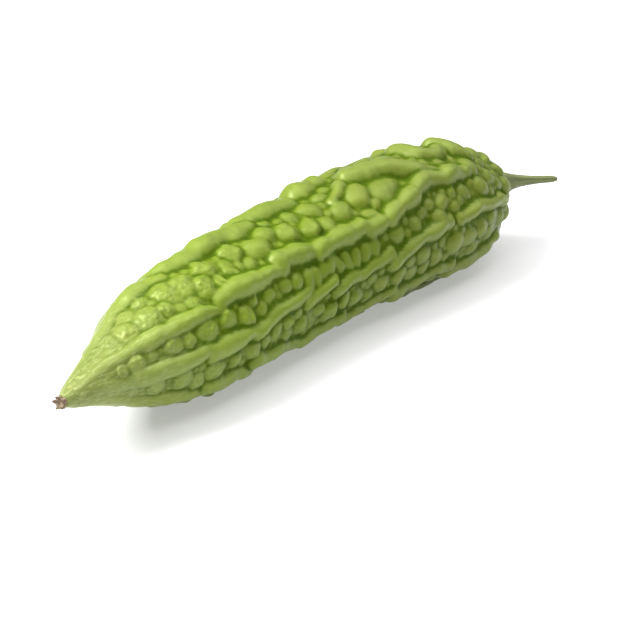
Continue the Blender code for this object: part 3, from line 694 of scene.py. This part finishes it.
def add_piece(name, mesh, look, slot, *nodes):
    piece = bpy.data.objects.new(name, mesh)
    mesh.materials.append(look)
    bpy.context.scene.collection.objects.link(piece)
    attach(piece, "root")
    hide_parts(*nodes)
    return piece


# Smallest warts, after the other rounds
FINE_WART_ROUND = (0.75 * MM, 1.2 * MM, 5000)

# How far below its surroundings the skin counts as a full crease or valley, for the painted shade there
CREASE_DEPTH = 0.55 * MM
VALLEY_DEPTH = 2.2 * MM

# Waves on the skin
SWELL_LENGTH = 5.0 * MM
UNEVEN_LENGTH = 2.0 * MM

# Tints of the skin: in darker and paler clouds and from lump to lump,
# with painted shade in the valleys and creases and a painted sheen on the tops
DARK_CLOUD = (0.80, 0.86, 0.62)
PALE_CLOUD = (1.22, 1.16, 1.25)
LUMP_TINT = (1.10, 1.05, 0.92)
VALLEY_SHADE_TINT = (0.66, 0.74, 0.40)
CREASE_SHADE_STRENGTH = 0.85
TOP_SHEEN_STRENGTH = 0.35

# Relief that is only shaded: on the fruit's skin, the stalk and the flower
CRINKLE_DEPTH = 0.30 * MM
PEBBLE_SIZE = 2.1 * MM
PEBBLE_DEPTH = 0.6 * MM
STREAK_DEPTH = 0.10 * MM
FIBRE_DEPTH = 0.25 * MM
PETAL_DEPTH = 0.3 * MM

# How far pieces reach into each other
PIECE_OVERLAP = 0.35 * MM

# Fineness of the stalk and the dried flower: rings and points round them
STALK_NET = (70, 60)
FLOWER_NET = (14, 80)

# Where the lights stand, seen from the melon: azimuth and elevation in degrees, then their
# distance and side in metres
KEY_LIGHT = (-127, 50, 1.6, 0.8)
TOP_LIGHT = (-100, 78, 1.7, 2.2)
FILL_LIGHT = (72, 52, 2.0, 1.6)


class MelonSizes(bpy.types.PropertyGroup):
    """Sizes and fineness of the melon's pieces."""

    seed: IntProperty(name="Wart seed", description="Draws another set of warts",
                      default=WART_SEED)
    rings: IntProperty(name="Rings", description="Rings along the fruit", default=428, min=60)
    ring_points: IntProperty(name="Ring points", description="Points round the fruit",
                             default=220, min=40)
    swell: FloatProperty(name="Swell", description="Wide waves on ridges and warts",
                         default=0.34 * MM, unit="LENGTH")
    unevenness: FloatProperty(name="Unevenness", description="Small waves on ridges and warts",
                              default=0.12 * MM, unit="LENGTH")
    stalk_length: FloatProperty(name="Stalk length", description="From the fruit to the cut end",
                                default=STALK_LENGTH, unit="LENGTH")
    flower_length: FloatProperty(name="Dried flower", description="Length without its prongs",
                                 default=FLOWER_LENGTH, unit="LENGTH")


def colour(name, words, value):
    return FloatVectorProperty(name=name, description=words, subtype="COLOR", size=3,
                               default=value, min=0, max=1)


class MelonColours(bpy.types.PropertyGroup):
    """Colours of the melon's skins."""

    tip: colour("Tip", "Skin at the blossom tip", (0.178, 0.212, 0.064))
    young: colour("Young part", "Skin a quarter of the way along", (0.150, 0.212, 0.018))
    middle: colour("Middle", "Skin at the middle", (0.120, 0.176, 0.010))
    old: colour("Stalk end", "Skin beside the stalk", (0.125, 0.164, 0.021))
    # Painted shade: the dark skin deep between the warts
    painted_crease_shade: colour("Crease", "Skin deep between the warts", (0.042, 0.080, 0.002))
    # Painted sheen: paler skin on the tops of the relief
    painted_top_sheen: colour("Bloom", "Waxy bloom on the tops", (0.30, 0.38, 0.085))
    streak: colour("Streaks", "Lengthwise streaks at the young end", (0.36, 0.41, 0.16))
    stalk: colour("Stalk", "Stalk skin", (0.150, 0.182, 0.060))
    stalk_fibre: colour("Stalk fibres", "Pale fibres along the stalk", (0.34, 0.38, 0.17))
    stalk_groove: colour("Stalk grooves", "Between the stalk's ribs", (0.072, 0.086, 0.028))
    petal: colour("Dried petal", "Shrivelled flower", (0.27, 0.200, 0.125))
    petal_fibre: colour("Dried fibres", "Pale fibres of the flower", (0.50, 0.36, 0.25))
    petal_edge: colour("Dried edge", "Dark ends of the flower", (0.045, 0.035, 0.020))


class StudioSettings(bpy.types.PropertyGroup):
    """Floor and lights."""

    floor: colour("Floor", "Pale studio floor", (0.52, 0.52, 0.525))
    floor_glow: FloatProperty(name="Floor glow", description="Light through the floor from below",
                              default=0.36)
    floor_size: FloatProperty(name="Floor size", description="Side of the floor", default=12.0,
                              unit="LENGTH")
    key_power: FloatProperty(name="Key light", description="Soft light from the upper left, in watts",
                             default=44.0)
    top_power: FloatProperty(name="Top light", description="Wide soft light from above, in watts",
                             default=37.0)
    fill_power: FloatProperty(name="Fill light", description="Light on the stalk end, in watts",
                              default=12.5)
    sky: FloatProperty(name="Sky", description="Brightness of the surroundings", default=0.31)


def node(tree, kind, **values):
    """Adds a shader node, sets its own values and its unlinked sockets by name."""
    made = tree.nodes.new(kind)
    for name, value in values.items():
        if name.startswith("in_"):
            made.inputs[name[3:].replace("_", " ")].default_value = value
        else:
            setattr(made, name, value)
    return made


def read(tree, name):
    """A value stored on the mesh."""
    made = node(tree, "ShaderNodeAttribute", attribute_name=name)
    return made.outputs["Fac"]


def math_node(tree, operation, first, second, clamp=False):
    made = node(tree, "ShaderNodeMath", operation=operation, use_clamp=clamp)
    for socket, value in zip(made.inputs, (first, second)):
        if isinstance(value, (int, float)):
            socket.default_value = value
        else:
            tree.links.new(value, socket)
    return made.outputs[0]


def scaled(tree, value, factor, offset):
    """The value times a factor plus an offset."""
    return math_node(tree, "ADD", math_node(tree, "MULTIPLY", value, factor), offset)


def mix_colour(tree, amount, first, second, blend="MIX"):
    made = node(tree, "ShaderNodeMix", data_type="RGBA", blend_type=blend)
    for number, value in ((0, amount), (6, first), (7, second)):
        if isinstance(value, bpy.types.NodeSocket):
            tree.links.new(value, made.inputs[number])
        elif number == 0:
            made.inputs[0].default_value = value
        else:
            made.inputs[number].default_value = (*value, 1.0)
    return made.outputs[2]


def new_group(name, inputs, outputs):
    """A shader node group with the named sockets; returns it with its input and output nodes."""
    group = bpy.data.node_groups.new(name, "ShaderNodeTree")
    for socket, kind, default in inputs:
        made = group.interface.new_socket(name=socket, in_out="INPUT", socket_type=kind)
        if default is not None:
            made.default_value = default
    for socket, kind in outputs:
        group.interface.new_socket(name=socket, in_out="OUTPUT", socket_type=kind)
    return group, group.nodes.new("NodeGroupInput"), group.nodes.new("NodeGroupOutput")


def mottle_group():
    """Soft cloudy blotches with fine specks in them: a mask from 0 to 1 about a half."""
    made = bpy.data.node_groups.get("plant_mottle")
    if made:
        return made
    inputs = (("Blotch size", "NodeSocketFloat", 0.006), ("Speck size", "NodeSocketFloat", 0.0007),
              ("Speck share", "NodeSocketFloat", 0.3))
    group, given, result = new_group("plant_mottle", inputs, (("Mask", "NodeSocketFloat"),))
    place = node(group, "ShaderNodeTexCoord").outputs["Object"]
    masks = []
    for size, detail in (("Blotch size", 3.0), ("Speck size", 1.0)):
        cloud = node(group, "ShaderNodeTexNoise", in_Detail=detail, in_Roughness=0.55)
        group.links.new(place, cloud.inputs["Vector"])
        scale = math_node(group, "DIVIDE", 1.0, given.outputs[size])
        group.links.new(scale, cloud.inputs["Scale"])
        masks.append(cloud.outputs["Fac"])
    blend = node(group, "ShaderNodeMix", data_type="FLOAT")
    group.links.new(given.outputs["Speck share"], blend.inputs[0])
    group.links.new(masks[0], blend.inputs[2])
    group.links.new(masks[1], blend.inputs[3])
    group.links.new(blend.outputs[0], result.inputs["Mask"])
    return group


def fibre_group():
    """Fine lengthwise fibres along X: a mask from 0 to 1."""
    made = bpy.data.node_groups.get("plant_fibres")
    if made:
        return made
    inputs = (("Width", "NodeSocketFloat", 0.0006), ("Length", "NodeSocketFloat", 0.008))
    group, given, result = new_group("plant_fibres", inputs, (("Mask", "NodeSocketFloat"),))
    place = node(group, "ShaderNodeTexCoord").outputs["Object"]
    apart = node(group, "ShaderNodeSeparateXYZ")
    group.links.new(place, apart.inputs[0])
    joined = node(group, "ShaderNodeCombineXYZ")
    for axis, size in (("X", "Length"), ("Y", "Width"), ("Z", "Width")):
        shrunk = math_node(group, "DIVIDE", apart.outputs[axis], given.outputs[size])
        group.links.new(shrunk, joined.inputs[axis])
    cloud = node(group, "ShaderNodeTexNoise", in_Scale=1.0, in_Detail=2.0, in_Distortion=0.4)
    group.links.new(joined.outputs[0], cloud.inputs["Vector"])
    group.links.new(cloud.outputs["Fac"], result.inputs["Mask"])
    return group


def use_group(tree, group, output="Mask", **values):
    made = node(tree, "ShaderNodeGroup")
    made.node_tree = group
    for name, value in values.items():
        made.inputs[name.replace("_", " ")].default_value = value
    return made.outputs[output]


def bump(tree, height, strength, distance, under=None):
    made = node(tree, "ShaderNodeBump", in_Strength=strength, in_Distance=distance)
    tree.links.new(height, made.inputs["Height"])
    if under:
        tree.links.new(under, made.inputs["Normal"])
    return made.outputs["Normal"]


def new_material(name, **constants):
    """A Principled material with its constant values set on its own sockets."""
    made = bpy.data.materials.new(name)
    made.use_nodes = True
    shader = made.node_tree.nodes["Principled BSDF"]
    for socket, value in constants.items():
        shader.inputs[socket.replace("_", " ")].default_value = value
    return made, made.node_tree, shader


def ramp(tree, value, stops):
    made = node(tree, "ShaderNodeValToRGB")
    tree.links.new(value, made.inputs["Fac"])
    elements = made.color_ramp.elements
    while len(elements) < len(stops):
        elements.new(0.5)
    for element, (place, shade) in zip(elements, stops):
        element.position = place
        element.color = (*shade, 1.0)
    return made.outputs["Color"]


def above(tree, value, limit, steepness):
    """How far the value is over the limit, times a steepness, within 0 to 1."""
    over = math_node(tree, "SUBTRACT", value, limit, True)
    return math_node(tree, "MULTIPLY", over, steepness, True)


def below(tree, value, limit, steepness):
    """How far the value is under the limit, times a steepness, within 0 to 1."""
    under = math_node(tree, "SUBTRACT", limit, value, True)
    return math_node(tree, "MULTIPLY", under, steepness, True)


def tinted(tree, skin, tint):
    return mix_colour(tree, 1.0, skin, tint, "MULTIPLY")


def skin_colour(tree, colours, cloud, streaks):
    """Colour along the fruit, clouded, tinted lump by lump, with a painted sheen on the tops,
    painted shade in the valleys and creases, and streaked at the young end."""
    drift = use_group(tree, mottle_group(), Blotch_size=0.022, Speck_size=0.003, Speck_share=0.15)
    along = math_node(tree, "ADD", read(tree, "share"), scaled(tree, drift, 0.16, -0.08))
    skin = ramp(tree, along, ((0.02, colours.tip), (0.24, colours.young),
                              (0.52, colours.middle), (0.74, colours.old)))
    skin = mix_colour(tree, cloud, tinted(tree, skin, DARK_CLOUD), tinted(tree, skin, PALE_CLOUD))
    skin = mix_colour(tree, read(tree, "tone"), skin, tinted(tree, skin, LUMP_TINT))
    # Painted sheen: the tops of the relief turn paler
    top = above(tree, read(tree, "relief"), 0.62, TOP_SHEEN_STRENGTH)
    skin = mix_colour(tree, top, skin, colours.painted_top_sheen)
    # Painted shade darkens the skin in the valleys
    skin = mix_colour(tree, read(tree, "painted_valley_shade"), skin, tinted(tree, skin, VALLEY_SHADE_TINT))
    # Painted shade darkens the skin in the creases
    deep = math_node(tree, "MULTIPLY", read(tree, "painted_crease_shade"), CREASE_SHADE_STRENGTH, True)
    skin = mix_colour(tree, deep, skin, colours.painted_crease_shade)
    return mix_colour(tree, streaks, skin, colours.streak)


def young_streaks(tree):
    """Fine lengthwise streaks that fade out from the blossom tip."""
    streaks = use_group(tree, fibre_group(), Width=0.0009, Length=0.0055)
    young = below(tree, read(tree, "share"), 0.30, 2.2)
    return math_node(tree, "MULTIPLY", above(tree, streaks, 0.5, 5.0), young, True)


def pebbled_tops(tree):
    """Small round nubs on the warts of the younger half."""
    nubs = node(tree, "ShaderNodeTexVoronoi", feature="SMOOTH_F1", in_Scale=1 / PEBBLE_SIZE,
                in_Smoothness=0.6)
    tree.links.new(node(tree, "ShaderNodeTexCoord").outputs["Object"], nubs.inputs["Vector"])
    amount = below(tree, read(tree, "share"), 0.46, 5.0)
    for mask in (above(tree, read(tree, "relief"), 0.42, 3.5), read(tree, "warty"),
                 nubs.outputs["Distance"], -1.0):
        amount = math_node(tree, "MULTIPLY", amount, mask)
    return amount


def melon_skin(colours):
    """Waxy green skin: pale at the tip, with painted shade in the creases and valleys and a painted
    sheen on the tops.
    """
    made, tree, shader = new_material(
        "melon_skin", Subsurface_Weight=0.10, Subsurface_Radius=(0.55, 1.0, 0.22),
        Subsurface_Scale=2.0 * MM, Specular_Tint=(0.90, 1.0, 0.48, 1.0))
    cloud = use_group(tree, mottle_group(), Blotch_size=0.005, Speck_size=0.0008,
                      Speck_share=0.45)
    streaks = young_streaks(tree)
    sunk = math_node(tree, "ADD", read(tree, "painted_valley_shade"), read(tree, "painted_crease_shade"), True)
    crinkle = use_group(tree, mottle_group(), Blotch_size=0.0016, Speck_size=0.0005,
                        Speck_share=0.45)
    normal = bump(tree, crinkle, 0.50, CRINKLE_DEPTH)
    normal = bump(tree, pebbled_tops(tree), 1.0, PEBBLE_DEPTH, normal)
    normal = bump(tree, streaks, 0.25, STREAK_DEPTH, normal)
    for value, socket in ((skin_colour(tree, colours, cloud, streaks), "Base Color"),
                          (scaled(tree, cloud, 0.14, 0.33), "Roughness"),
                          (scaled(tree, sunk, -0.50, 0.55), "Specular IOR Level"),
                          (normal, "Normal")):
        tree.links.new(value, shader.inputs[socket])
    return made


def stalk_skin(colours):
    """Matt olive stem with fine fibres and darker grooves."""
    made, tree, shader = new_material("stalk_skin", Specular_IOR_Level=0.35,
                                      Subsurface_Weight=0.05, Subsurface_Scale=1.0 * MM)
    fibres = use_group(tree, fibre_group(), Width=0.00045, Length=0.007)
    blotches = use_group(tree, mottle_group(), Blotch_size=0.003, Speck_size=0.0004,
                         Speck_share=0.4)
    groove = read(tree, "groove")
    skin = mix_colour(tree, groove, colours.stalk, colours.stalk_groove)
    pale = math_node(tree, "MULTIPLY", fibres, 0.35)
    skin = mix_colour(tree, pale, skin, colours.stalk_fibre)
    dark = math_node(tree, "MULTIPLY", blotches, 0.45)
    skin = mix_colour(tree, dark, skin, colours.stalk_groove)
    tree.links.new(skin, shader.inputs["Base Color"])
    rough = scaled(tree, blotches, 0.2, 0.50)
    tree.links.new(rough, shader.inputs["Roughness"])
    normal = bump(tree, fibres, 0.7, FIBRE_DEPTH)
    tree.links.new(normal, shader.inputs["Normal"])
    return made


def dry_petal(colours):
    """Papery brown remains, dark along their ends."""
    made, tree, shader = new_material("dry_petal", Specular_IOR_Level=0.2,
                                      Subsurface_Weight=0.04, Subsurface_Scale=0.8 * MM)
    blotches = use_group(tree, mottle_group(), Blotch_size=0.0013, Speck_size=0.0003,
                         Speck_share=0.4)
    fibres = use_group(tree, fibre_group(), Width=0.0003, Length=0.002)
    spots = above(tree, blotches, 0.45, 6.0)
    dark = math_node(tree, "ADD", read(tree, "end"), spots, True)
    skin = mix_colour(tree, dark, colours.petal, colours.petal_edge)
    pale = math_node(tree, "MULTIPLY", fibres, 0.3)
    skin = mix_colour(tree, pale, skin, colours.petal_fibre)
    tree.links.new(skin, shader.inputs["Base Color"])
    rough = scaled(tree, blotches, 0.2, 0.65)
    tree.links.new(rough, shader.inputs["Roughness"])
    normal = bump(tree, blotches, 0.8, PETAL_DEPTH)
    tree.links.new(normal, shader.inputs["Normal"])
    return made


class MELON_OT_add_fruit(bpy.types.Operator):
    """Add the fruit with its ridges and warts"""

    bl_idname = "melon.add_fruit"
    bl_label = "Add Fruit"

    def execute(self, context):
        sizes = context.scene.melon_sizes
        rng = random.Random(sizes.seed)
        body = Body(sizes.rings, sizes.ring_points)
        ridges = ridge_lumps(body, rng)
        warts = wart_lumps(body, ridges, rng, (*WART_ROUNDS, FINE_WART_ROUND))
        height, tone, warty = relief_on(body, ridges + warts)
        scale = lump_height_scale(body.share)[:, None]
        full = np.maximum(RIDGE_HEIGHT * scale, 0.1 * MM)
        # Painted shade: how far each point lies below its blurred surroundings, in creases and in wider
        # valleys
        painted_crease_shade = np.clip((blurred(height, 3, 3) - height) / CREASE_DEPTH, 0, 1)
        painted_valley_shade = np.clip((blurred(height, 8, 6) - height) / VALLEY_DEPTH, 0, 1)
        height = blurred(height, 1, 1)
        base = body.points(height)
        for amount, length in ((sizes.swell, SWELL_LENGTH), (sizes.unevenness, UNEVEN_LENGTH)):
            wave = waves(base.reshape(-1, 3) / length, 1).reshape(height.shape)
            height = height + amount * scale * wave
        points = body.points(np.maximum(height, 0))
        points[..., 2] = np.maximum(points[..., 2], 0)
        mesh = tube_mesh("fruit_skin", points)
        ends = np.array([0.0, 0.0])
        paint(mesh, "share", np.append(np.repeat(body.share, sizes.ring_points), [0.0, 1.0]))
        for name, values in (("relief", np.clip(height / full, 0, 1)), ("painted_crease_shade", painted_crease_shade),
                             ("painted_valley_shade", painted_valley_shade), ("tone", tone), ("warty", warty)):
            paint(mesh, name, np.append(values, ends))
        add_piece("fruit_skin", mesh, melon_skin(context.scene.melon_colours), "fruit_skin", "fruit")
        return {"FINISHED"}


class MELON_OT_add_stalk(bpy.types.Operator):
    """Add the ribbed stalk"""

    bl_idname = "melon.add_stalk"
    bl_label = "Add Stalk"

    def execute(self, context):
        length = context.scene.melon_sizes.stalk_length
        steps, around = STALK_NET
        mesh = tube_mesh("stalk_stem", stalk_rings(length, -PIECE_OVERLAP, steps, around))
        groove = []
        for i in range(steps + 1):
            for j in range(around):
                groove.append(0.5 - 0.5 * stalk_rib(i / steps, 2 * math.pi * j / around))
        paint(mesh, "groove", groove + [0.6, 0.9])
        add_piece("stalk_stem", mesh, stalk_skin(context.scene.melon_colours), "stalk_skin", "stalk")
        return {"FINISHED"}


class MELON_OT_add_dry_flower(bpy.types.Operator):
    """Add the shrivelled flower at the blossom tip"""

    bl_idname = "melon.add_dry_flower"
    bl_label = "Add Dried Flower"

    def execute(self, context):
        length = context.scene.melon_sizes.flower_length
        mesh = tube_mesh("dry_petals", flower_rings(length, -PIECE_OVERLAP, *FLOWER_NET))
        foot = end_frame(0.0)[0]
        reach = length + FLOWER_PRONG_LENGTH
        away = [min(1, (vertex.co - foot).length / reach) for vertex in mesh.vertices]
        paint(mesh, "end", [part**4 for part in away])
        add_piece("dry_petals", mesh, dry_petal(context.scene.melon_colours), "dry_flower",
                  "dry_flower")
        return {"FINISHED"}


class MELON_OT_add_studio(bpy.types.Operator):
    """Add the floor, the lights and the camera"""

    bl_idname = "melon.add_studio"
    bl_label = "Add Studio"

    def execute(self, context):
        studio = context.scene.studio_settings
        add_floor(studio)
        add_sky(studio)
        low, high = FRAME_BOX
        middle = (Vector(low) + Vector(high)) / 2
        add_light("key_light", middle, *KEY_LIGHT, studio.key_power)
        add_light("top_light", middle, *TOP_LIGHT, studio.top_power)
        add_light("fill_light", middle, *FILL_LIGHT, studio.fill_power)
        add_camera(context)
        return {"FINISHED"}


def spherical(azimuth, elevation):
    """Direction from the melon: azimuth 0 is -Y, and positive turns towards +X."""
    a, e = math.radians(azimuth), math.radians(elevation)
    return Vector((math.sin(a) * math.cos(e), -math.cos(a) * math.cos(e), math.sin(e)))


def add_floor(studio):
    half = studio.floor_size / 2
    corners = [(-half, -half, 0), (half, -half, 0), (half, half, 0), (-half, half, 0)]
    mesh = bpy.data.meshes.new("studio_floor")
    mesh.from_pydata(corners, [], [(0, 1, 2, 3)])
    floor = bpy.data.objects.new("studio_floor", mesh)
    made, tree, shader = new_material("studio_floor", Roughness=0.9, Specular_IOR_Level=0.1,
                                      Emission_Strength=studio.floor_glow,
                                      Emission_Color=(1.0, 1.0, 1.0, 1.0))
    grain = node(tree, "ShaderNodeTexNoise", in_Scale=3.0, in_Detail=2.0)
    shade = tuple(studio.floor)
    pale = mix_colour(tree, grain.outputs["Fac"], shade, tuple(0.985 * part for part in shade))
    tree.links.new(pale, shader.inputs["Base Color"])
    mesh.materials.append(made)
    bpy.context.scene.collection.objects.link(floor)


def add_sky(studio):
    world = bpy.data.worlds.new("studio_sky")
    world.use_nodes = True
    background = world.node_tree.nodes["Background"]
    background.inputs["Color"].default_value = (1.0, 1.0, 1.0, 1.0)
    background.inputs["Strength"].default_value = studio.sky
    bpy.context.scene.world = world


def add_light(name, target, azimuth, elevation, distance, size, power):
    data = bpy.data.lights.new(name, "AREA")
    data.shape = "SQUARE"
    data.size = size
    data.energy = power
    light = bpy.data.objects.new(name, data)
    back = spherical(azimuth, elevation)
    light.location = target + back * distance
    light.rotation_mode = "QUATERNION"
    light.rotation_quaternion = (-back).to_track_quat("-Z", "Y")
    bpy.context.scene.collection.objects.link(light)


def add_camera(context):
    data = bpy.data.cameras.new("photo_camera")
    data.lens = CAMERA_LENS
    data.sensor_width = 36
    data.clip_start, data.clip_end = 0.05, 50
    camera = bpy.data.objects.new("photo_camera", data)
    back = spherical(CAMERA_AZIMUTH, CAMERA_ELEVATION)
    target = Vector(CAMERA_TARGET) - Vector((*MELON_MIDDLE, 0))
    camera.location = target + back * CAMERA_DISTANCE
    camera.rotation_mode = "QUATERNION"
    camera.rotation_quaternion = (-back).to_track_quat("-Z", "Y")
    context.scene.collection.objects.link(camera)
    context.scene.camera = camera
    context.scene.view_settings.view_transform = "Standard"


class MELON_PT_pieces(bpy.types.Panel):
    """The melon's pieces and settings."""

    bl_label = "Bitter Melon"
    bl_space_type = "VIEW_3D"
    bl_region_type = "UI"
    bl_category = "Melon"

    def draw(self, context):
        for operator in OPERATORS:
            self.layout.operator(operator.bl_idname)
        for settings in (context.scene.melon_sizes, context.scene.melon_colours,
                         context.scene.studio_settings):
            box = self.layout.box()
            for name in settings.bl_rna.properties.keys():
                if name not in ("rna_type", "name"):
                    box.prop(settings, name)


OPERATORS = (MELON_OT_add_fruit, MELON_OT_add_stalk, MELON_OT_add_dry_flower, MELON_OT_add_studio)
CLASSES = (MelonSizes, MelonColours, StudioSettings, *OPERATORS, MELON_PT_pieces)


def register():
    for made in CLASSES:
        bpy.utils.register_class(made)
    bpy.types.Scene.melon_sizes = PointerProperty(type=MelonSizes)
    bpy.types.Scene.melon_colours = PointerProperty(type=MelonColours)
    bpy.types.Scene.studio_settings = PointerProperty(type=StudioSettings)


def unregister():
    del bpy.types.Scene.melon_sizes
    del bpy.types.Scene.melon_colours
    del bpy.types.Scene.studio_settings
    for made in reversed(CLASSES):
        bpy.utils.unregister_class(made)


def main():
    register()
    bpy.ops.melon.add_fruit()
    bpy.ops.melon.add_stalk()
    bpy.ops.melon.add_dry_flower()
    bpy.ops.melon.add_studio()


if __name__ == "__main__":
    main()
